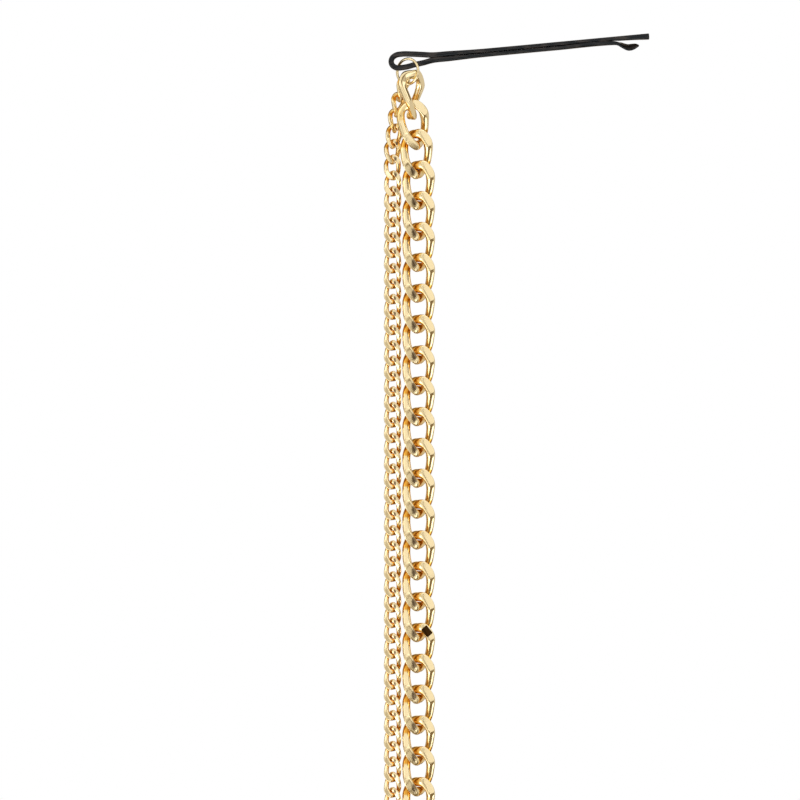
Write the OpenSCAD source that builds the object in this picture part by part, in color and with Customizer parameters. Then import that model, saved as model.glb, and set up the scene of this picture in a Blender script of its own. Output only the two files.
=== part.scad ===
// Hair chain: a black hair pin with a thin gold ring in its eye, and two gold curb chains on the ring.
// Millimetres, +Z up. The pin points along +X, tilted up a little, and the chains hang down.
// The origin lies in the slot between the pin's legs, in the middle of the lock of hair that it grips.

/* [Hair pin] */
// Length of the pin from its bend to the end of its long leg
pin_length = 51; // [48:0.5:60]
// Distance from the bend to the middle of the lock of hair that the legs grip
grip_reach = 26.3; // [24:0.5:30]
// Upward tilt of the pin, in degrees
pin_tilt = 5.3; // [0:0.1:10]
// Thickness of a leg's flat wire, as seen from the front
pin_wire_t = 0.82; // [0.7:0.01:0.95]
// Width of the flat wire, from front to back
pin_wire_w = 1.3; // [1.2:0.05:1.3]
// Slot between the two legs
leg_slot = 0.06; // [0.04:0.01:0.12]
// Growth of the long leg's thickness and width at its end
end_flare = 0.42; // [0:0.02:0.6]

/* [Eye of the hair pin] */
// Distance from the bend to the place where the legs meet
eye_length = 8.2; // [7.8:0.1:9]
// Rise of the long leg's centre above the slot
eye_rise = 1.25; // [1.23:0.01:1.35]
// Drop of the short leg's centre below the slot
eye_drop = 1.38; // [1.36:0.01:1.46]
// Thickness of the wire round the eye, as seen from the front
eye_wire_t = 1.1; // [1.05:0.01:1.12]
// Length over which the wire past the eye thins to that of the legs
eye_taper = 10; // [6:0.5:15]

/* [Tip of the short leg] */
// Distance from the bend to the kink where the short leg turns away
kink_reach = 43.7; // [42:0.1:44.5]
// Length of the tip past the kink
tip_length = 5.2; // [4.5:0.1:6]
// Drop of the tip below the leg
tip_drop = 1.15; // [1.1:0.05:1.6]
// Width of the flattened blade
blade_w = 2.35; // [1.8:0.05:2.6]
// Thickness of the flattened blade
blade_t = 0.42; // [0.35:0.01:0.6]
// Roll of the blade about its own length, in degrees
blade_roll = 34; // [20:1:36]

/* [Jump ring] */
// Outer diameter of the jump ring
ring_d = 5.5; // [5.4:0.05:5.7]
// Thickness of its round wire
ring_wire = 0.55; // [0.45:0.01:0.56]
// Turn of the ring about the vertical, in degrees
ring_turn = 35; // [35:1:45]
// Room between the ring and the wire that it hangs on
ring_play = 0.48; // [0.47:0.01:0.49]

/* [Curb chain] */
// Number of links
curb_count = 24; // [10:1:30]
// Width of a link
curb_w = 6.3; // [6.15:0.05:6.35]
// Length of a link
curb_l = 9.65; // [9.4:0.05:10]
// Thickness of a link's wire
curb_wire = 1.55; // [1.4:0.05:1.6]
// Slack between a link and the next, along the chain
curb_slack = 0.54; // [0.4:0.01:0.6]
// Twist of each end of a link, in degrees
curb_twist = 48; // [46:1:52]
// Depth from the front flats to the back flats of a link
curb_depth = 3; // [2.7:0.05:3.2]
// Growth of the wire's outer side where its flats are pressed
curb_swell = 0.4; // [0:0.05:0.5]

/* [Fine chain] */
// Number of links
fine_count = 47; // [20:1:50]
// Width of a link
fine_w = 3.35; // [3.25:0.05:3.4]
// Length of a link
fine_l = 5.05; // [4.95:0.05:5.15]
// Thickness of a link's wire
fine_wire = 0.9; // [0.82:0.01:0.92]
// Slack between a link and the next, along the chain
fine_slack = 0.245; // [0.2:0.005:0.3]
// Twist of each end of a link, in degrees
fine_twist = 50; // [48:1:54]
// Depth from the front flats to the back flats of a link
fine_depth = 1.64; // [1.5:0.02:1.8]
// Growth of the wire's outer side where its flats are pressed
fine_swell = 0.2; // [0:0.02:0.3]

/* [Hidden] */
CURB_NAMES = [for (i = [1:curb_count]) str("curb_link_", i < 10 ? "0" : "", i)];
pin_black = [0.03, 0.03, 0.035];
gold = [0.9, 0.7, 0.33];

// Segments round a link and sides of its wire
curb_segments = 16;
fine_segments = 14;
wire_sides = 6;
// Exponent of a link's oval: 2 is an ellipse, and more fills out its corners
link_oval = 2.8;
// Exponent of the section of every wire: 2 is round, and more is squarer
wire_oval = 2.6;
pin_oval = 3.2;
// Sides of the pin's wire, and steps between two points of its path in the eye
pin_sides = 8;
eye_steps = 2;

// The eye, from the long leg round the bend to the short leg.
// Columns: share of the eye's length, share of its rise where positive or of its drop where negative
EYE = [
    [0.85, 0.59],
    [0.555, 0.86],
    [0.32, 1],
    [0.19, 0.92],
    [0.095, 0.54],
    [0.06, 0.03],
    [0.075, -0.5],
    [0.165, -0.94],
    [0.31, -1],
    [0.46, -0.92],
    [0.6, -0.76],
    [0.84, -0.58]
];
// Place on the eye where the ring hangs, as a share of the eye's length
hang_share = 0.438;

// The tip of the short leg.
// Columns: share of the tip's length, of its drop, of the change to a blade, and width as a share of the blade's
TIP = [
    [0.16, 0.09, 0.2, 0.62],
    [0.29, 0.3, 0.6, 0.86],
    [0.44, 0.68, 0.85, 0.92],
    [0.6, 0.98, 1, 1],
    [0.75, 0.93, 1, 0.94],
    [0.89, 0.82, 1, 0.62],
    [1, 0.86, 1, 0.12]
];

// The end of the long leg: shares of its length past the kink, and of the flare
LEG_END = [
    [1, 1],
    [0.66, 0.6],
    [0.24, 0.28]
];

// Way of the first links of each chain, from the lowest point of the ring's wire.
// Columns: x, y, drop in links, turn about the vertical, lean to the side, lean to the back
CURB_START = [
    [0.71, -0.41, 0.352, 59.6, -0.6, 0.8],
    [1.19, -0.05, 1.323, 20.8, -10.7, 7.1],
    [1.7, 0, 2.272, 13.5, -2.2, 1],
    [2.06, 0, 3.284, 13, 0, 0]
];
FINE_START = [
    [-1.21, 0.84, 0.305, 63.6, 16.6, 11.9],
    [-1.93, 1.19, 1.306, 48.3, 10.2, 3.1],
    [-2.37, 1.19, 2.334, 33.6, 5.8, -2.9],
    [-2.73, 1.01, 3.364, 21.6, 7.7, -3.8],
    [-3.03, 0.65, 4.388, 21.2, 1.7, -9.8],
    [-3.01, 0.2, 5.415, 6.1, -2.6, -6.9],
    [-2.92, 0, 6.448, -4, 0, 0],
    [-2.92, 0, 7.448, -10, 0, 0],
    [-2.92, 0, 8.448, -13, 0, 0]
];

curb_pitch = curb_l - 2 * curb_wire - curb_slack;
fine_pitch = fine_l - 2 * fine_wire - fine_slack;

// A number raised to a power with its sign kept
function bent(v, p) = sign(v) * pow(abs(v), p);

// Point i of n on a rounded rectangle of size a by b, with the exponent q
function wire_section(i, n, a, b, q, turn = 0) =
    let (t = 360 * i / n + turn)
    [a / 2 * bent(cos(t), 2 / q), b / 2 * bent(sin(t), 2 / q)];

// Triangles of a closed band of rings, each with the given sides
function band_faces(rings, sides, last) = [
    for (i = [0:last], j = [0:sides - 1])
        let (a = i * sides + j,
             b = i * sides + (j + 1) % sides,
             c = ((i + 1) % rings) * sides + (j + 1) % sides,
             d = ((i + 1) % rings) * sides + j)
        each [[a, b, d], [b, c, d]]
];

// Smooth curve between p1 and p2, at the share s, with p0 and p3 as its neighbours
function smooth(p0, p1, p2, p3, s) =
    0.5 * (2 * p1 + (p2 - p0) * s + (2 * p0 - 5 * p1 + 4 * p2 - p3) * s * s
        + (3 * p1 - p0 - 3 * p2 + p3) * s * s * s);

// A point of the pin at the distance u from the bend and v above the slot, in the model's frame
function pin_place(u, v) =
    let (x = u - grip_reach)
    [x * cos(pin_tilt) - v * sin(pin_tilt), 0, x * sin(pin_tilt) + v * cos(pin_tilt)];

// A leg's thickness at the distance u from the bend, and the height of its centre above the slot
function leg_t(u) =
    let (s = min(1, max(0, (u - eye_length) / eye_taper)))
    eye_wire_t + (pin_wire_t - eye_wire_t) * s;
function leg_v(u) = (leg_t(u) + leg_slot) / 2;

// Stations of the pin's wire: distance u, height v, thickness, width and roll
LEG_SHARES = [1, 0.7, 0.45, 0.25, 0.1, 0];
leg_us = [for (s = LEG_SHARES) eye_length + s * (kink_reach - eye_length)];
long_leg = concat(
    [for (r = LEG_END)
        let (u = kink_reach + r[0] * (pin_length - kink_reach), flare = r[1] * end_flare)
        [u, leg_v(u) - flare / 2, leg_t(u) + flare, pin_wire_w + flare, 0]],
    [for (u = leg_us) [u, leg_v(u), leg_t(u), pin_wire_w, 0]]);
eye_end = leg_v(eye_length);
eye_points = concat([[1, eye_end / eye_rise]], EYE, [[1, -eye_end / eye_drop]]);
eye_last = len(eye_points) - 1;
eye = [for (i = [0:eye_last - 1], k = [0:eye_steps - 1])
    if (i + k > 0)
        let (p = smooth(eye_points[max(i - 1, 0)], eye_points[i], eye_points[i + 1],
                        eye_points[min(i + 2, eye_last)], k / eye_steps))
        [p[0] * eye_length, p[1] * (p[1] > 0 ? eye_rise : eye_drop), eye_wire_t, pin_wire_w, 0]];
short_leg = [for (i = [len(leg_us) - 1:-1:0]) [leg_us[i], -leg_v(leg_us[i]), leg_t(leg_us[i]), pin_wire_w, 0]];
tip = [for (r = TIP)
    [kink_reach + r[0] * tip_length,
     -leg_v(kink_reach) - r[1] * tip_drop,
     pin_wire_t + r[2] * (blade_t - pin_wire_t),
     r[3] * blade_w,
     r[2] * blade_roll]];
pin_path = concat(long_leg, eye, short_leg, tip);
pin_last = len(pin_path) - 1;

function pin_centre(i) = pin_place(pin_path[i][0], pin_path[i][1]);

// One ring of the pin's skin: its section lies across the path and is rolled about it
function pin_ring(i) =
    let (way = pin_centre(min(i + 1, pin_last)) - pin_centre(max(i - 1, 0)),
         across = [-way[2], 0, way[0]] / norm(way),
         c = pin_centre(i),
         row = pin_path[i])
    [for (j = [0:pin_sides - 1])
        let (p = wire_section(j, pin_sides, row[2], row[3], pin_oval, 180 / pin_sides),
             n = p[0] * cos(row[4]) + p[1] * sin(row[4]),
             y = p[1] * cos(row[4]) - p[0] * sin(row[4]))
        c + n * across + [0, y, 0]];

// Lowest stretch of the eye, where the ring hangs, and the ring's centre below the top of that wire
hang = pin_place(hang_share * eye_length, -eye_drop);
ring_r = (ring_d - ring_wire) / 2;
ring_reach = sqrt(pow(ring_r - ring_wire / 2, 2) - pow(pin_wire_w / 2 / sin(ring_turn), 2));
ring_centre = hang + [0, 0, eye_wire_t / 2 + ring_play - ring_reach];
ring_low = ring_centre - [0, 0, ring_r];

// A point of a curb link's skin at the step i round the link and j round its wire.
// The oval of the centre line is twisted about its length, and front and back are cut flat.
// The wire swells outwards in the upper right and the lower left, where the flats are.
function link_point(w, l, wire, twist, depth, swell, n, i, j) =
    let (a = (w - wire) / 2,
         b = (l - wire) / 2,
         t = 90 - 360 * i / n,
         x = a * bent(cos(t), 2 / link_oval),
         z = b * bent(sin(t), 2 / link_oval),
         out = [bent(x / a, link_oval - 1) / a, bent(z / b, link_oval - 1) / b],
         s = wire_section(j, wire_sides, wire, wire, wire_oval),
         reach = s[0] + swell * max(0, sin(2 * t)) * (0.5 + s[0] / wire),
         p = [x, z] + reach * out / norm(out),
         turn = -twist * p[1] / b,
         flat = depth / 2,
         y = p[0] * sin(turn) + s[1] * cos(turn))
    [p[0] * cos(turn) - s[1] * sin(turn), min(flat, max(-flat, y)), p[1]];

module hair_pin() {
    points = [for (i = [0:pin_last]) each pin_ring(i)];
    first_cap = [for (j = [pin_sides - 1:-1:0]) j];
    last_cap = [for (j = [0:pin_sides - 1]) pin_last * pin_sides + j];
    color(pin_black)
        polyhedron(points, concat(band_faces(pin_last + 1, pin_sides, pin_last - 1), [first_cap, last_cap]));
}

module jump_ring() {
    color(gold)
        translate(ring_centre)
            rotate([90, 0, -ring_turn])
                rotate_extrude($fn = 96)
                    translate([ring_r, 0])
                        circle(d = ring_wire, $fn = 32);
}

module curb_shape(w, l, wire, twist, depth, swell, n) {
    points = [for (i = [0:n - 1], j = [0:wire_sides - 1])
        link_point(w, l, wire, twist, depth, swell, n, i, j)];
    color(gold)
        polyhedron(points, band_faces(n, wire_sides, n - 1));
}

// Puts a link in its place: i counts from the ring, and past the table the chain runs straight down
module hang_link(start, i, pitch) {
    row = start[min(i, len(start) - 1)];
    drop = (row[2] + max(0, i - len(start) + 1)) * pitch;
    translate(ring_low + [row[0], row[1], -drop])
        rotate([row[5], 0, 0])
            rotate([0, row[4], 0])
                rotate([0, 0, row[3]])
                    children();
}

module curb_link(i) {
    hang_link(CURB_START, i, curb_pitch)
        curb_shape(curb_w, curb_l, curb_wire, curb_twist, curb_depth, curb_swell, curb_segments);
}

module fine_chain() {
    for (i = [0:fine_count - 1])
        hang_link(FINE_START, i, fine_pitch)
            curb_shape(fine_w, fine_l, fine_wire, fine_twist, fine_depth, fine_swell, fine_segments);
}

hair_pin();
jump_ring();
fine_chain();
for (i = [0:curb_count - 1])
    curb_link(i);
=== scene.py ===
"""A hair chain: a black hair pin, a thin gold ring in its eye, and two gold curb chains on the ring.

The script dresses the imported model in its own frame, in metres and +Z up: the pin points along +X and
the chains hang down. Sizes of the pieces are in millimetres, and MM turns them into metres.
"""

import bpy
import numpy as np
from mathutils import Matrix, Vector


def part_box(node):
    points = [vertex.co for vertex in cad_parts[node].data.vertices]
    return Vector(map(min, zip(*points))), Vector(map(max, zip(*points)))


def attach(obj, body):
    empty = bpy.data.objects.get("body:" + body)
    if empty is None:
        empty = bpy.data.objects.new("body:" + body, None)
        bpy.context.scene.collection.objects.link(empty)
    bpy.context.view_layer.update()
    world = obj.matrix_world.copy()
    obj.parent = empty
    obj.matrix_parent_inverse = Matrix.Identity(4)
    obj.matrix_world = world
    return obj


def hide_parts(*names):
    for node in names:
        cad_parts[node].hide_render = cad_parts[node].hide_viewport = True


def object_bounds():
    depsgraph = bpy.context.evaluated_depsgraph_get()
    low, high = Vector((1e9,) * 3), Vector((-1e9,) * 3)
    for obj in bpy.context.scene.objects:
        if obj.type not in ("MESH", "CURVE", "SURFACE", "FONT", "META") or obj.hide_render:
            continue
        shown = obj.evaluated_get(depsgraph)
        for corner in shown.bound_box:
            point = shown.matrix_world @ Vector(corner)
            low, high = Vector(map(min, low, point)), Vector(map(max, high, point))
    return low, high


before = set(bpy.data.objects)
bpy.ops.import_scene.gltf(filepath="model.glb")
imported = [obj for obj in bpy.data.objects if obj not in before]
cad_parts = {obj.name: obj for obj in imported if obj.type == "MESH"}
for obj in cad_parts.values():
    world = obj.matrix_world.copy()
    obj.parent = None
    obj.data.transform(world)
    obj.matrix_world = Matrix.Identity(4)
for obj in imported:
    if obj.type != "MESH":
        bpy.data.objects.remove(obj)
cad_low, cad_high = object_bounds()
MM = 0.001

# The view. A long lens looks level along +Y from in front of the chains, so that 1 pixel of the
# 800 pixel picture is 0.195 mm at the middle of the chains.
PIXEL = 0.195 * MM
PICTURE = 800
PIN_PIXEL = (523, 49.3)
LENS = 200
SENSOR = 36
NEAREST = 0.01
view_x = (PICTURE / 2 - PIN_PIXEL[0]) * PIXEL
view_z = (PIN_PIXEL[1] - PICTURE / 2) * PIXEL
camera_data = bpy.data.cameras.new("front_camera")
camera_data.lens = LENS
camera_data.sensor_width = SENSOR
camera_data.clip_start = NEAREST
camera = bpy.data.objects.new("front_camera", camera_data)
camera.location = (view_x, -PICTURE * PIXEL * LENS / SENSOR, view_z)
camera.rotation_euler = (np.pi / 2, 0, 0)
bpy.context.scene.collection.objects.link(camera)
bpy.context.scene.camera = camera
bpy.context.scene.view_settings.view_transform = "Standard"

# The studio: a white sweep, which the metal sees as a dim warm room, with soft boxes all round it. The
# dark gaps between the boxes draw the metal's edges. The round pale floor is small and lies well below
# the chains, so that their lowest links don't mirror it.
ROOM = (0.21, 0.15, 0.085, 1)
WHITE = (1, 1, 1, 1)
world = bpy.data.worlds.new("studio")
world.use_nodes = True
bpy.context.scene.world = world
world_nodes = world.node_tree.nodes
world_links = world.node_tree.links
room = world_nodes["Background"]
room.inputs["Color"].default_value = ROOM
sweep = world_nodes.new("ShaderNodeBackground")
sweep.inputs["Color"].default_value = WHITE
seen = world_nodes.new("ShaderNodeLightPath")
either = world_nodes.new("ShaderNodeMixShader")
world_links.new(seen.outputs["Is Camera Ray"], either.inputs[0])
world_links.new(room.outputs[0], either.inputs[1])
world_links.new(sweep.outputs[0], either.inputs[2])
world_links.new(either.outputs[0], world_nodes["World Output"].inputs[0])

# Columns: name, left and right edge in degrees from the camera's side (to the right is positive),
# lower and upper edge in degrees from the level, and brightness, where 1 is white. The boxes are
# placed by what each face of a link mirrors: the key box lights the upper right flats, the dim box the
# lower left ones, the high boxes the left legs, and the low and glint boxes the lines on the right legs.
SOFT_BOXES = (
    ("key_box", 26, 54, -9, 32, 0.76),
    ("brow_box", -12, 22, 3, 32, 0.75),
    ("side_box", -26, -12, -1, 32, 0.35),
    ("left_box", -75, -26, -14, 32, 0.65),
    ("high_box", -80, 30, 34, 58, 0.76),
    ("high_side_box", 30, 85, 34, 58, 0.35),
    ("dim_box", 8, 20.5, -14, 3, 0.5),
    ("spark_box", 24.5, 29, -16, -9, 2.5),
    ("strip_box", -19, 8, -36, -1, 0.8),
    ("low_box", -50, 2, -54, -38, 2.4),
    ("glint_box", -95, -30, -36, -16, 2.4),
    ("right_glint_box", 70, 92, -47, -33, 2.0),
    ("right_box", 58, 150, -30, 30, 0.46),
    ("far_left_box", -150, -95, -30, 32, 0.3),
    ("top_box", -60, 60, 63, 88, 0.8),
    ("back_box", 158, 202, -20, 34, 0.9),
)
BOX_DISTANCE = 3.0
# Power of a square metre of soft box that looks as bright as white
BOX_POWER = np.pi
for box_name, left, right, lower, upper, bright in SOFT_BOXES:
    lamp = bpy.data.lights.new(box_name, "AREA")
    lamp.shape = "RECTANGLE"
    lamp.size, lamp.size_y = 2 * BOX_DISTANCE * np.tan(np.radians([right - left, upper - lower]) / 2)
    lamp.energy = bright * lamp.size * lamp.size_y * BOX_POWER
    box = bpy.data.objects.new(box_name, lamp)
    a, h = np.radians([left + right, lower + upper]) / 2
    way = np.array([np.sin(a) * np.cos(h), -np.cos(a) * np.cos(h), np.sin(h)])
    box.location = np.array([view_x, 0, view_z]) + BOX_DISTANCE * way
    box.rotation_euler = (np.pi / 2 - h, 0, a)
    box.visible_camera = False
    bpy.context.scene.collection.objects.link(box)

FLOOR_GAP = 100 * MM
FLOOR_RADIUS = 80 * MM
FLOOR_THICK = 3 * MM
FLOOR_SIDES = 128
FLOOR_PALE = (0.85, 0.85, 0.84, 1)
FLOOR_MATT = 0.6
bpy.ops.mesh.primitive_cylinder_add(vertices=FLOOR_SIDES, radius=FLOOR_RADIUS, depth=FLOOR_THICK)
floor = bpy.context.object
floor.name = "floor"
floor.location = (view_x, 0, cad_low[2] - FLOOR_GAP - FLOOR_THICK / 2)
floor_paint = bpy.data.materials.new("pale_floor")
floor_paint.use_nodes = True
floor_finish = floor_paint.node_tree.nodes["Principled BSDF"]
floor_finish.inputs["Base Color"].default_value = FLOOR_PALE
floor_finish.inputs["Roughness"].default_value = FLOOR_MATT
floor.data.materials.append(floor_paint)

# The hair pin: one length of flat spring steel wire, bent round into an eye, with its two legs
# pressed together. The long leg ends in a blunt flare, and the short one kinks away from it and is
# rolled out to a blade. It is dipped in black enamel.
# T is a thickness as seen from the front, and W a width from front to back. The rolls and tilts are
# in degrees, and GRIP_REACH is the distance from the bend to the middle of the lock of hair.
PIN_LENGTH = 51
GRIP_REACH = 26.3
PIN_TILT = 5.3
LEG_T = 0.82
PIN_W = 1.3
LEG_SLOT = 0.01
END_FLARE = 0.42
EYE_LENGTH = 8.2
EYE_RISE = 1.25
EYE_DROP = 1.38
EYE_T = 1.1
EYE_TAPER = 10
KINK_REACH = 43.7
TIP_LENGTH = 5.2
TIP_DROP = 1.15
BLADE_W = 2.35
BLADE_T = 0.42
BLADE_ROLL = 34
PIN_OVAL = 3.2
PIN_STEP = 0.25
PIN_SIDES = 40
END_ROUND = 0.16
END_STEPS = 5
END_LEAST = 0.1
# Columns: share of the eye's length, share of its rise where positive or of its drop where negative
EYE = np.array(
    [
        [0.85, 0.59],
        [0.555, 0.86],
        [0.32, 1],
        [0.19, 0.92],
        [0.095, 0.54],
        [0.06, 0.03],
        [0.075, -0.5],
        [0.165, -0.94],
        [0.31, -1],
        [0.46, -0.92],
        [0.6, -0.76],
        [0.84, -0.58],
    ]
)
# Columns: share of the tip's length, of its drop, of the change to a blade, and of the blade's width
TIP = np.array(
    [
        [0.16, 0.09, 0.2, 0.62],
        [0.29, 0.3, 0.6, 0.86],
        [0.44, 0.68, 0.85, 0.92],
        [0.6, 0.98, 1, 1],
        [0.75, 0.93, 1, 0.94],
        [0.89, 0.82, 1, 0.62],
        [1, 0.86, 1, 0.12],
    ]
)
# Columns: share of the long leg's length past the kink, and of the flare
LEG_END = np.array([[1, 1], [0.66, 0.6], [0.24, 0.28]])
LEG_SHARES = np.array([1, 0.7, 0.45, 0.25, 0.1, 0])


def leg_thickness(u):
    """The wire is thick round the eye, and thins evenly to the legs' own thickness over the taper."""
    return EYE_T + (LEG_T - EYE_T) * np.clip((u - EYE_LENGTH) / EYE_TAPER, 0, 1)


def leg_rows(u, side):
    """Stations of a closed leg at the distances u from the bend: distance, height, thickness, width, roll.
    The leg's middle lies half of its thickness and half of the slot above the slot, or below it."""
    thick = leg_thickness(u)
    return np.stack([u, side * (thick + LEG_SLOT) / 2, thick, np.full_like(u, PIN_W), 0 * u], -1)


def smooth_path(rows, step):
    """Rows at every step along a path through the given rows. Each stretch is the cubic whose slope at a
    row is that of the parabola through the row and its two neighbours."""
    reach = np.concatenate([[0], np.cumsum(np.linalg.norm(np.diff(rows[:, :2], axis=0), axis=1))])
    slope = np.gradient(rows, reach, axis=0)
    at = np.linspace(0, reach[-1], int(reach[-1] / step))
    i = np.clip(np.searchsorted(reach, at, side="right") - 1, 0, len(reach) - 2)
    h = (reach[i + 1] - reach[i])[:, None]
    s = (at - reach[i])[:, None] / h
    return (
        rows[i] * (1 + 2 * s) * (1 - s) ** 2
        + slope[i] * h * s * (1 - s) ** 2
        + rows[i + 1] * s**2 * (3 - 2 * s)
        + slope[i + 1] * h * s**2 * (s - 1)
    )


def rounded_ends(rows, radius, steps):
    """Rows whose two ends are drawn in on a quarter circle of the given radius, but never to less than the
    least share of their thickness and width."""
    angle = np.linspace(0, np.pi / 2, steps + 1)[1:, None]
    caps = []
    for near, far in ((rows[0], rows[1]), (rows[-1], rows[-2])):
        way = (near[:2] - far[:2]) / np.linalg.norm(near[:2] - far[:2])
        shrink = np.minimum(2 * radius * (1 - np.cos(angle)), (1 - END_LEAST) * near[2:4])
        cap = np.repeat(near[None, :], steps, 0)
        cap[:, :2] += way * radius * (np.sin(angle) - 1)
        cap[:, 2:4] -= shrink
        caps.append(cap)
    return np.vstack([caps[0][::-1], rows[1:-1], caps[1]])


def bent(value, power):
    """The size of a value raised to a power, with the value's sign kept."""
    return np.sign(value) * np.abs(value) ** power


def swept_wire(rows, sides, oval):
    """A wire along a path in the plane of u and v. The section at each row is a rounded rectangle
    |n|^oval + |y|^oval = 1, scaled to the row's thickness and width, rolled, and set square to the path."""
    u, v, thick, wide, roll = rows.T
    slope = np.gradient(np.stack([u, v], -1), axis=0)
    slope /= np.linalg.norm(slope, axis=1, keepdims=True)
    turn = 2 * np.pi * np.arange(sides) / sides
    n = thick[:, None] / 2 * bent(np.cos(turn), 2 / oval)
    y = wide[:, None] / 2 * bent(np.sin(turn), 2 / oval)
    r = np.radians(roll)[:, None]
    n, y = n * np.cos(r) + y * np.sin(r), y * np.cos(r) - n * np.sin(r)
    return np.stack([u[:, None] - n * slope[:, 1:], y, v[:, None] + n * slope[:, :1]], -1)


def turned(points, angle, axis):
    """Points turned by an angle in degrees about the axis through the origin: 0 is x, 1 is y, 2 is z."""
    c, s = np.cos(np.radians(angle)), np.sin(np.radians(angle))
    first, second = ((1, 2), (2, 0), (0, 1))[axis]
    out = points.copy()
    out[..., first] = c * points[..., first] - s * points[..., second]
    out[..., second] = s * points[..., first] + c * points[..., second]
    return out


def surface(name, points, closed, shades=None):
    """An object from grids of points in millimetres, shaped (grids, rings, sides, 3). Each ring is closed,
    four points of two neighbouring rings make a quad, and a closed grid's last ring joins its first. An
    open grid gets a fan of triangles at each end. The UV map runs from 0 to 1 along the grid and round each
    ring. shades holds named values for every point."""
    grids, rings, sides = points.shape[:3]
    corner = np.arange(grids * rings * sides).reshape(grids, rings, sides)
    a = corner if closed else corner[:, :-1]
    d = np.roll(corner, -1, 1) if closed else corner[:, 1:]
    quads = np.stack([a, d, np.roll(d, -1, 2), np.roll(a, -1, 2)], -1)
    steps = a.shape[1]
    along = (np.arange(steps)[:, None, None] + np.array([0, 1, 1, 0])) / steps + np.zeros((1, sides, 1))
    across = (np.arange(sides)[None, :, None] + np.array([0, 0, 1, 1])) / sides + np.zeros((steps, 1, 1))
    uv = np.tile(np.stack([along, across], -1).reshape(-1, 2), (grids, 1))
    vertices, loops = points.reshape(-1, 3), quads.ravel()
    starts = np.arange(quads.size // 4) * 4
    if not closed:
        middle = points[:, [0, -1]].mean(2).reshape(-1, 3)
        tip = len(vertices) + np.arange(len(middle)).reshape(grids, 2, 1)
        ends = corner[:, [0, -1]]
        following = np.roll(ends, -1, 2)
        near = np.stack([ends[:, :1], following[:, :1]], -1)
        far = np.stack([following[:, 1:], ends[:, 1:]], -1)
        rims = np.concatenate([near, far], 1)
        fans = np.concatenate([np.broadcast_to(tip[..., None], rims.shape[:3] + (1,)), rims], -1)
        starts = np.concatenate([starts, len(loops) + np.arange(fans.size // 3) * 3])
        loops = np.concatenate([loops, fans.ravel()])
        uv = np.vstack([uv, np.zeros((fans.size, 2))])
        vertices = np.vstack([vertices, middle])
    mesh = bpy.data.meshes.new(name)
    mesh.vertices.add(len(vertices))
    mesh.vertices.foreach_set("co", (vertices * MM).astype(np.float32).ravel())
    mesh.loops.add(len(loops))
    mesh.loops.foreach_set("vertex_index", loops.astype(np.int32))
    mesh.polygons.add(len(starts))
    mesh.polygons.foreach_set("loop_start", starts.astype(np.int32))
    mesh.polygons.foreach_set("use_smooth", np.ones(len(starts), bool))
    mesh.update(calc_edges=True)
    mesh.uv_layers.new(name="UVMap").data.foreach_set("uv", uv.astype(np.float32).ravel())
    for shade, values in (shades or {}).items():
        every = np.concatenate([values.ravel(), np.zeros(len(vertices) - values.size)])
        mesh.attributes.new(shade, "FLOAT", "POINT").data.foreach_set("value", every.astype(np.float32))
    piece = bpy.data.objects.new(name, mesh)
    bpy.context.scene.collection.objects.link(piece)
    return piece


end_u = KINK_REACH + LEG_END[:, 0] * (PIN_LENGTH - KINK_REACH)
flare = LEG_END[:, 1] * END_FLARE
end_rows = leg_rows(end_u, 1) + np.stack([0 * flare, -flare / 2, flare, flare, 0 * flare], -1)
leg_u = EYE_LENGTH + LEG_SHARES * (KINK_REACH - EYE_LENGTH)
eye_v = np.where(EYE[:, 1] > 0, EYE_RISE, EYE_DROP) * EYE[:, 1]
eye_rows = np.stack([EYE[:, 0] * EYE_LENGTH, eye_v, 0 * eye_v + EYE_T, 0 * eye_v + PIN_W, 0 * eye_v], -1)
tip_rows = np.stack(
    [
        KINK_REACH + TIP[:, 0] * TIP_LENGTH,
        -(LEG_T + LEG_SLOT) / 2 - TIP[:, 1] * TIP_DROP,
        LEG_T + TIP[:, 2] * (BLADE_T - LEG_T),
        TIP[:, 3] * BLADE_W,
        TIP[:, 2] * BLADE_ROLL,
    ],
    -1,
)
stations = np.vstack([end_rows, leg_rows(leg_u, 1), eye_rows, leg_rows(leg_u[::-1], -1), tip_rows])
pin_path = rounded_ends(smooth_path(stations, PIN_STEP), END_ROUND, END_STEPS)
pin_skin = turned(swept_wire(pin_path, PIN_SIDES, PIN_OVAL) - [GRIP_REACH, 0, 0], -PIN_TILT, 1)
pin = surface("pin_wire", pin_skin[None], False)
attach(pin, "root")
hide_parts("hair_pin")


def node(tree, kind, inputs=None, **settings):
    """A shader node with its settings. Each input is set to a value, or linked to another node's output."""
    made = tree.nodes.new(kind)
    for setting, value in settings.items():
        setattr(made, setting, value)
    for socket, value in (inputs or {}).items():
        if isinstance(value, bpy.types.NodeSocket):
            tree.links.new(value, made.inputs[socket])
        else:
            made.inputs[socket].default_value = value
    return made


def ramp(tree, value, *stops):
    """A colour ramp on a value. Each stop is a place and a grey, or a place and a colour."""
    made = tree.nodes.new("ShaderNodeValToRGB")
    while len(made.color_ramp.elements) < len(stops):
        made.color_ramp.elements.new(1)
    for element, (place, shade) in zip(made.color_ramp.elements, stops):
        element.position = place
        element.color = (*shade, 1) if isinstance(shade, tuple) else (shade, shade, shade, 1)
    tree.links.new(value, made.inputs[0])
    return made.outputs[0]


ENAMEL_BLACK = (0.001, 0.002, 0.004)
ENAMEL_WORN = (0.05, 0.042, 0.038)
ENAMEL_TINT = (0.82, 0.92, 1, 1)
ENAMEL_SHINE = 0.36
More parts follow.
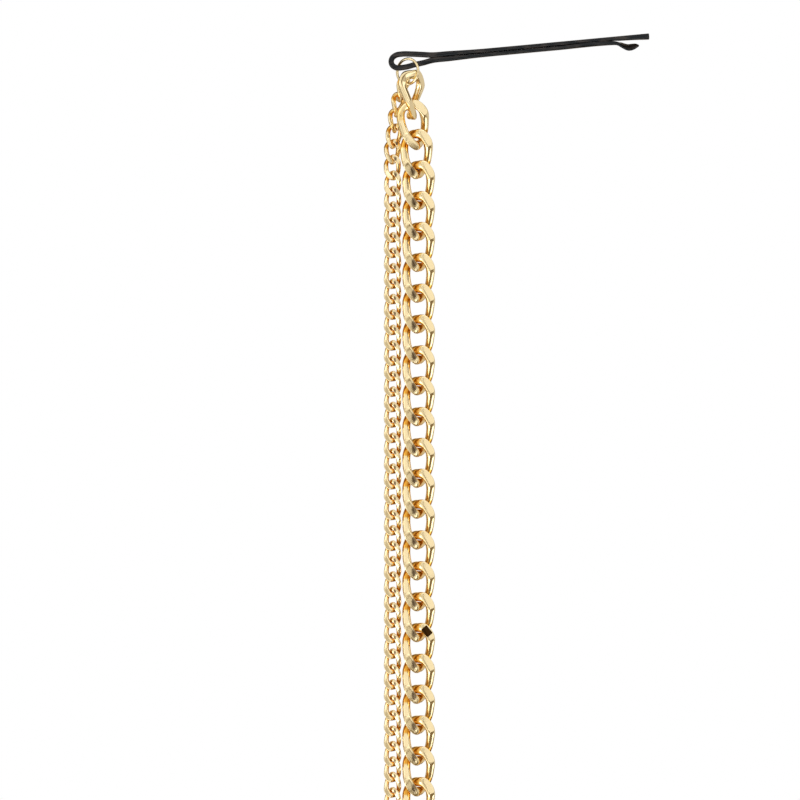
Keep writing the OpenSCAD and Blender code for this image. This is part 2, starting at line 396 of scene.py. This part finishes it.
# Streaks and dimples in the enamel to the metre. The streaks are drawn out along the pin, and thin the
# black and dull it: each stop is a place in their noise, with the colour or the roughness there.
STREAKS = 2200.0
DRAWN_OUT = (0.2, 1, 1)
STREAK_COLOURS = ((0.46, ENAMEL_BLACK), (0.72, ENAMEL_WORN))
STREAK_ROUGHNESS = ((0.3, 0.1), (0.8, 0.28))
DIMPLES = 4000.0
DIMPLE_DEPTH = 0.2
# Depth of relief at full strength
RELIEF = 0.02 * MM
enamel = bpy.data.materials.new("black_enamel")
enamel.use_nodes = True
tree = enamel.node_tree
coat = tree.nodes["Principled BSDF"]
coat.inputs["Specular Tint"].default_value = ENAMEL_TINT
coat.inputs["Specular IOR Level"].default_value = ENAMEL_SHINE
place = node(tree, "ShaderNodeTexCoord").outputs["Object"]
streak = node(tree, "ShaderNodeMapping", {"Vector": place, "Scale": DRAWN_OUT}).outputs[0]
mottle = node(tree, "ShaderNodeTexNoise", {"Vector": streak, "Scale": STREAKS, "Detail": 4.0}).outputs[0]
tree.links.new(ramp(tree, mottle, *STREAK_COLOURS), coat.inputs["Base Color"])
tree.links.new(ramp(tree, mottle, *STREAK_ROUGHNESS), coat.inputs["Roughness"])
dimples = node(tree, "ShaderNodeTexNoise", {"Vector": place, "Scale": DIMPLES, "Detail": 3.0}).outputs[0]
bump = node(tree, "ShaderNodeBump", {"Height": dimples, "Strength": DIMPLE_DEPTH, "Distance": RELIEF})
tree.links.new(bump.outputs[0], coat.inputs["Normal"])
pin.data.materials.append(enamel)

# The jump ring: a length of thin round brass wire, bent to a circle until its cut ends meet behind the
# eye. It hangs on the bottom of the eye, turned about the vertical, and holds both chains.
RING_D = 5.5
RING_WIRE = 0.55
RING_TURN = 35
RING_CUT = 0.03
RING_CUT_AT = 162
RING_RINGS = 240
RING_SIDES = 28
ring_low_corner, ring_high_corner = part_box("jump_ring")
ring_centre = (np.array(ring_low_corner) + np.array(ring_high_corner)) / 2 / MM
ring_r = (RING_D - RING_WIRE) / 2
ring_low = ring_centre - [0, 0, ring_r]


def ring_skin():
    """The wire's round section, carried backwards round the ring's circle from one side of the cut to the
    other, and turned about the vertical."""
    half_cut = RING_CUT / ring_r / 2
    around = np.radians(RING_CUT_AT) - np.linspace(half_cut, 2 * np.pi - half_cut, RING_RINGS)[:, None]
    section = 2 * np.pi * np.arange(RING_SIDES) / RING_SIDES
    reach = ring_r + RING_WIRE / 2 * np.cos(section)
    deep = 0 * around + RING_WIRE / 2 * np.sin(section)
    flat = np.stack([reach * np.cos(around), deep, reach * np.sin(around)], -1)
    return turned(flat, -RING_TURN, 2) + ring_centre


ring = surface("ring_wire", ring_skin()[None], False)
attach(ring, "root")
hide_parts("jump_ring")


PALE_GOLD = (1.0, 0.865, 0.54)
# Painted shade and gold-on-gold reflection: the two deeper golds where links tuck, in grooves and on rims
SHADED_GOLD = (0.9, 0.65, 0.25)
DEEPLY_SHADED_GOLD = (0.78, 0.4, 0.06)
# Painted dark reflection, shown as a speckled dark spot on the flats
DARK_SPOT_GOLD = (0.24, 0.18, 0.11)
# Painted dark reflection on one facet
DARK_FACET_COLOUR = (0.045, 0.02, 0.005)
RING_GLOSS = 0.1
# Clouds and specks in the plating to the metre, and lines along the wire and round it. The clouds dull
# the gloss by up to CLOUD_DULL, and the painted dark reflection spot shows from one place in the specks'
# noise to the other.
CLOUDS = 700.0
CLOUD_RANGE = (0.3, 0.75)
CLOUD_DULL = 0.1
SPECKS = 7000.0
SPECK_RANGE = (0.66, 1.0)
LINES = (6, 60, 1)
LINE_DEPTH = 0.15


def blend(tree, share, first, second):
    """The first colour where the share is 0, and the second where it is 1."""
    return node(tree, "ShaderNodeMix", {0: share, 6: first, 7: (*second, 1)}, data_type="RGBA").outputs[2]


def gold(name, gloss, marked):
    """Plated and polished brass, with fine lines along the wire. On a marked piece, painted shade and
    gold-on-gold reflection deepen the colour where the painted shade value is high, a painted dark
    reflection shows in specks where the painted dark spot value is high, and a painted dark facet where the
    painted dark facet value is above 0."""
    made = bpy.data.materials.new(name)
    made.use_nodes = True
    tree = made.node_tree
    metal = tree.nodes["Principled BSDF"]
    metal.inputs["Metallic"].default_value = 1
    metal.inputs["Base Color"].default_value = (*PALE_GOLD, 1)
    place = node(tree, "ShaderNodeTexCoord")
    spot = place.outputs["Object"]
    cloud = node(tree, "ShaderNodeTexNoise", {"Vector": spot, "Scale": CLOUDS}).outputs[0]
    rough = ramp(tree, cloud, (CLOUD_RANGE[0], gloss), (CLOUD_RANGE[1], gloss + CLOUD_DULL))
    tree.links.new(rough, metal.inputs["Roughness"])
    lines = node(tree, "ShaderNodeMapping", {"Vector": place.outputs["UV"], "Scale": LINES}).outputs[0]
    drawn = node(tree, "ShaderNodeTexNoise", {"Vector": lines, "Scale": 1.0, "Detail": 4.0}).outputs[0]
    bump = node(tree, "ShaderNodeBump", {"Height": drawn, "Strength": LINE_DEPTH, "Distance": RELIEF})
    tree.links.new(bump.outputs[0], metal.inputs["Normal"])
    if marked:
        painted_shade, painted_dark_spot, painted_dark_facet = (
            node(tree, "ShaderNodeAttribute", attribute_name=shade).outputs["Fac"]
            for shade in ("painted_shade", "painted_dark_spot", "painted_dark_facet")
        )
        # Painted shade and reflection: the gold deepens as the painted shade value rises
        tone = ramp(tree, painted_shade, (0, PALE_GOLD), (0.5, SHADED_GOLD), (1, DEEPLY_SHADED_GOLD))
        specks = {"Vector": spot, "Scale": SPECKS, "Detail": 3.0}
        grain = node(tree, "ShaderNodeTexNoise", specks).outputs[0]
        # Painted dark reflection, broken into specks
        speck = node(tree, "ShaderNodeMath", {0: painted_dark_spot, 1: grain}, operation="ADD").outputs[0]
        worn = ramp(tree, speck, (SPECK_RANGE[0], 0.0), (SPECK_RANGE[1], 1.0))
        tone = blend(tree, worn, tone, DARK_SPOT_GOLD)
        # Painted dark facet: a dark reflection on one link's flat
        facet_darkened = node(tree, "ShaderNodeMath", {0: painted_dark_facet, 1: 0.0}, operation="GREATER_THAN").outputs[0]
        tree.links.new(blend(tree, facet_darkened, tone, DARK_FACET_COLOUR), metal.inputs["Base Color"])
    return made


ring.data.materials.append(gold("polished_ring_gold", RING_GLOSS, False))

# The heavy chain: curb links of thick brass wire. Each is bent to an oval, twisted about its length so
# that it lies flat on its neighbours, pressed flat on both faces where it stands out, and gold plated.
# W and L are a link's width and length, WIRE its wire's thickness, SLACK its play in the next link, and
# DEPTH the distance from its front flats to its back ones. Twist and rakes are in degrees.
CURB_COUNT = 24
CURB_W = 6.3
CURB_L = 9.65
CURB_WIRE = 1.55
CURB_SLACK = 0.54
CURB_TWIST = 48
CURB_DEPTH = 3
CURB_SWELL = 0.4
CURB_BEVEL = 0.18
CURB_RAKE = 5
CURB_RINGS = 160
CURB_SIDES = 48
CURB_GLOSS = 0.1
# Powers of the link's oval and of the wire's section, and the wire's taper towards its outer side
LINK_OVAL = 2.8
WIRE_OVAL = 2.6
WIRE_TAPER = 0.2
# Along the legs the section keeps square to the view up to the first share of the half height, and
# turns with the twist past the second
STRAIGHT = 0.35
STRAIGHT_END = 0.75
# The inner side bulges past this share of the half height, by this share of the slack
BULGE_START = 0.8
BULGE = 0.42
# Middle of a flat as a share of the half height, its bow, and how far a flat with a rake the other way
# is pressed in, as a share of the length. The inner edges are softer by INNER_BEVEL times the bevel.
FLAT_MIDDLE = 0.3
FLAT_BOW = 0.03
RAKE_DROP = 0.15
INNER_BEVEL = 1
PRESSED_DEPTH = 0.06
# The painted shade and gold-on-gold reflection, by shares of the half height: where a link tucks under
# the next, in the groove of its inner side, and on the rim of its ends
TUCK_SIDE = 4
TUCK_AT = 0.3
TUCK_BLEND = 0.08
TUCK_END = 1.15
TUCK_FADE = 0.5
GROOVE_FROM = 0.35
GROOVE_BLEND = 0.5
GROOVE_DEEP = 0.75
RIM_FROM = 0.98
RIM_BLEND = 0.1
RIM_DEEP = 0.6
# Middle and reach of the painted dark reflection spot on a flat, as shares of the half width and half
# height
DARK_SPOT_AT = (-0.46, -0.77)
DARK_SPOT_REACH = 0.34
# The first links, from the ring's lowest point. Columns: x, y, drop in links, turn about the vertical,
# lean to the side, lean to the back
CURB_START = np.array(
    [
        [0.71, -0.41, 0.352, 59.6, -0.6, 0.8],
        [1.19, -0.05, 1.323, 20.8, -10.7, 7.1],
        [1.7, 0, 2.272, 13.5, -2.2, 1],
        [2.06, 0, 3.284, 13, 0, 0],
    ]
)
# The painted dark facet on one link, a dark reflection on its upper right flat: the link, the place of its
# middle, its half length and half width, the turn of its length, and how far in front of the link's middle
# the dark facet can lie
DARK_FACET_LINK = 19
DARK_FACET_PLACE = (1.4, 3.25)
DARK_FACET_HALF = (1.0, 0.72)
DARK_FACET_TURN = -50
DARK_FACET_FRONT = 0.95
# The first links stand open at their upper ends. Their painted shade is only so deep there, and their
# flats get no painted dark spot.
OPEN_END_SHADE = (0, 0.4)


def link_skin(w, l, wire, slack, twist, depth, swell, rings, sides, bevel, rake, worn):
    """A curb link round the origin, and its shades.

    The wire's middle follows the oval |x/a|^q + |z/b|^q = 1. Its outer side swells in the upper right and
    lower left, and its inner side bulges at both ends. The whole is twisted about its length in proportion
    to the height, save that the section stays square to the view along the straight legs. A front and a
    back face cut it flat. Each is raked by the angle's tangent times the distance out from the link's
    diagonal, and bowed by the square of the distance along it. The cut's edges are softened: the greater of
    two depths is half of their sum and of the root of their squared difference plus the squared bevel.

    The painted shade value, a painted shade and gold-on-gold reflection, is the deepest of groove, tuck and
    rim, off the flats. The painted dark spot value, a painted dark reflection, falls from 1 to 0 with the
    distance from the spot on the flats. The last argument is 1 for a spot on the lower left flat in front,
    and -1 for one on the upper right flat."""
    a, b = (w - wire) / 2, (l - wire) / 2
    t = np.pi / 2 - 2 * np.pi * np.arange(rings)[:, None] / rings
    x, z = a * bent(np.cos(t), 2 / LINK_OVAL), b * bent(np.sin(t), 2 / LINK_OVAL)
    out_x, out_z = bent(x / a, LINK_OVAL - 1) / a, bent(z / b, LINK_OVAL - 1) / b
    size = np.hypot(out_x, out_z)
    section = 2 * np.pi * np.arange(sides)[None, :] / sides
    n, y = (wire / 2 * bent(f(section), 2 / WIRE_OVAL) for f in (np.cos, np.sin))
    facing = y / (wire / 2)
    y = y * (1 - WIRE_TAPER * n / (wire / 2))
    straight = np.clip((STRAIGHT_END - np.abs(z / b)) / (STRAIGHT_END - STRAIGHT), 0, 1)
    level = np.radians(twist) * z / b * straight * out_x / size
    n, y = n * np.cos(level) - y * np.sin(level), n * np.sin(level) + y * np.cos(level)
    inner = np.clip(-n / (wire / 2), 0, 1)
    bevel = bevel * (1 + INNER_BEVEL * inner)
    end = np.clip((np.abs(z / b) - BULGE_START) / (1 - BULGE_START), 0, 1)
    reach = n + swell * np.maximum(0, np.sin(2 * t)) * (0.5 + n / wire) - BULGE * slack * inner * end
    px, pz = x + reach * out_x / size, z + reach * out_z / size
    turn = -np.radians(twist) * pz / b
    wide = px * np.cos(turn) - y * np.sin(turn)
    deep = px * np.sin(turn) + y * np.cos(turn)
    fall = np.tan(np.radians(rake))
    faces = []
    for mirror in (1, -1):
        across = np.abs(mirror * wide + pz) / np.sqrt(2) - a
        along = np.abs(mirror * wide - pz) / np.sqrt(2) - FLAT_MIDDLE * b
        face = depth / 2 - fall * np.maximum(0, across) + min(0, fall) * RAKE_DROP * l
        faces.append(face - FLAT_BOW / wire * along**2)
    front, back = -faces[0], faces[1]
    cut_front = (deep + front + np.sqrt((deep - front) ** 2 + bevel**2)) / 2
    cut = (cut_front + back - np.sqrt((cut_front - back) ** 2 + bevel**2)) / 2
    pressed = np.clip((np.abs(cut - deep) - bevel / 2) / PRESSED_DEPTH, 0, 1)
    side = np.where(deep < 0, 1, -1) * wide / a
    height = np.abs(pz / b)
    # Painted shade: where a link tucks under the next, in its inner groove and on the rims of its ends
    tuck = np.clip(TUCK_SIDE * facing * np.sin(2 * t), 0, 1)
    tuck = tuck * np.clip((height - TUCK_AT) / TUCK_BLEND, 0, 1)
    tuck = tuck * np.clip((TUCK_END - height) / TUCK_FADE, 0, 1)
    groove = GROOVE_DEEP * np.clip((inner - GROOVE_FROM) / GROOVE_BLEND, 0, 1)
    rim = RIM_DEEP * np.clip((height - RIM_FROM) / RIM_BLEND, 0, 1)
    # Painted dark reflection: a spot on the flats, fading with the distance from its middle
    dark = np.hypot(worn * side - DARK_SPOT_AT[0], worn * pz / b - DARK_SPOT_AT[1]) / DARK_SPOT_REACH
    shades = {
        "painted_shade": (1 - pressed) * np.maximum(np.maximum(groove, tuck), rim),
        "painted_dark_spot": pressed * np.clip(1 - dark, 0, 1) + 0 * inner,
    }
    return np.stack([wide, cut, pz], -1), shades


def hung(points, start, link, pitch):
    """A link's points put in its place. Past the table's last row the chain runs straight down."""
    x, y, drop, turn, side, back = start[min(link, len(start) - 1)]
    fall = (drop + max(0, link - len(start) + 1)) * pitch
    return turned(turned(turned(points, turn, 2), side, 1), back, 0) + ring_low + [x, y, -fall]


curb_sizes = (CURB_W, CURB_L, CURB_WIRE, CURB_SLACK, CURB_TWIST, CURB_DEPTH, CURB_SWELL)
curb_skin, curb_shades = link_skin(*curb_sizes, CURB_RINGS, CURB_SIDES, CURB_BEVEL, CURB_RAKE, 1)
curb_pitch = CURB_L - 2 * CURB_WIRE - CURB_SLACK
curb_gold = gold("polished_curb_gold", CURB_GLOSS, True)
# Painted dark facet: a dark reflection on part of one link's upper right flat
c, s = np.cos(np.radians(DARK_FACET_TURN)), np.sin(np.radians(DARK_FACET_TURN))
facet_x, facet_z = curb_skin[..., 0] - DARK_FACET_PLACE[0], curb_skin[..., 2] - DARK_FACET_PLACE[1]
facet_along, facet_across = facet_x * c + facet_z * s, facet_z * c - facet_x * s
facet_reach = np.minimum(DARK_FACET_HALF[0] - np.abs(facet_along), DARK_FACET_HALF[1] - np.abs(facet_across))
facet_reach = np.where(curb_skin[..., 1] < -DARK_FACET_FRONT, facet_reach, -1)
for link in range(CURB_COUNT):
    number = f"{link + 1:02d}"
    shades = curb_shades | {"painted_dark_facet": facet_reach if link + 1 == DARK_FACET_LINK else 0 * facet_reach}
    # The open first links get less painted shade at their upper ends and no painted dark spot
    if link < len(OPEN_END_SHADE):
        shades["painted_shade"] = np.where(curb_skin[..., 2] > 0, OPEN_END_SHADE[link], 1) * shades["painted_shade"]
        shades["painted_dark_spot"] = 0 * shades["painted_dark_spot"]
    points = hung(curb_skin, CURB_START, link, curb_pitch)
    piece = surface("curb_wire_" + number, points[None], True, shades)
    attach(piece, "root")
    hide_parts("curb_link_" + number)
    piece.data.materials.append(curb_gold)

# The fine chain: the same links at half the size, from thinner wire, each soldered shut and plated.
# It starts beside the heavy chain on the ring, and hangs straight down at its left.
FINE_COUNT = 47
FINE_W = 3.35
FINE_L = 5.05
FINE_WIRE = 0.9
FINE_SLACK = 0.245
FINE_TWIST = 50
FINE_DEPTH = 1.64
FINE_SWELL = 0.2
FINE_BEVEL = 0.1
FINE_RAKE = -5
FINE_RINGS = 84
FINE_SIDES = 24
FINE_GLOSS = 0.12
# The first links, with the columns of the heavy chain's
FINE_START = np.array(
    [
        [-1.21, 0.84, 0.305, 63.6, 16.6, 11.9],
        [-1.93, 1.19, 1.306, 48.3, 10.2, 3.1],
        [-2.37, 1.19, 2.334, 33.6, 5.8, -2.9],
        [-2.73, 1.01, 3.364, 21.6, 7.7, -3.8],
        [-3.03, 0.65, 4.388, 21.2, 1.7, -9.8],
        [-3.01, 0.2, 5.415, 6.1, -2.6, -6.9],
        [-2.92, 0, 6.448, -4, 0, 0],
        [-2.92, 0, 7.448, -10, 0, 0],
        [-2.92, 0, 8.448, -13, 0, 0],
    ]
)
fine_sizes = (FINE_W, FINE_L, FINE_WIRE, FINE_SLACK, FINE_TWIST, FINE_DEPTH, FINE_SWELL)
fine_skin, fine_shades = link_skin(*fine_sizes, FINE_RINGS, FINE_SIDES, FINE_BEVEL, FINE_RAKE, -1)
fine_pitch = FINE_L - 2 * FINE_WIRE - FINE_SLACK
fine_grids = np.stack([hung(fine_skin, FINE_START, link, fine_pitch) for link in range(FINE_COUNT)])
fine_values = {k: np.tile(v, (FINE_COUNT, 1, 1)) for k, v in fine_shades.items()}
fine = surface("fine_chain_wire", fine_grids, True, fine_values)
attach(fine, "root")
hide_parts("fine_chain")
fine.data.materials.append(gold("polished_fine_gold", FINE_GLOSS, True))
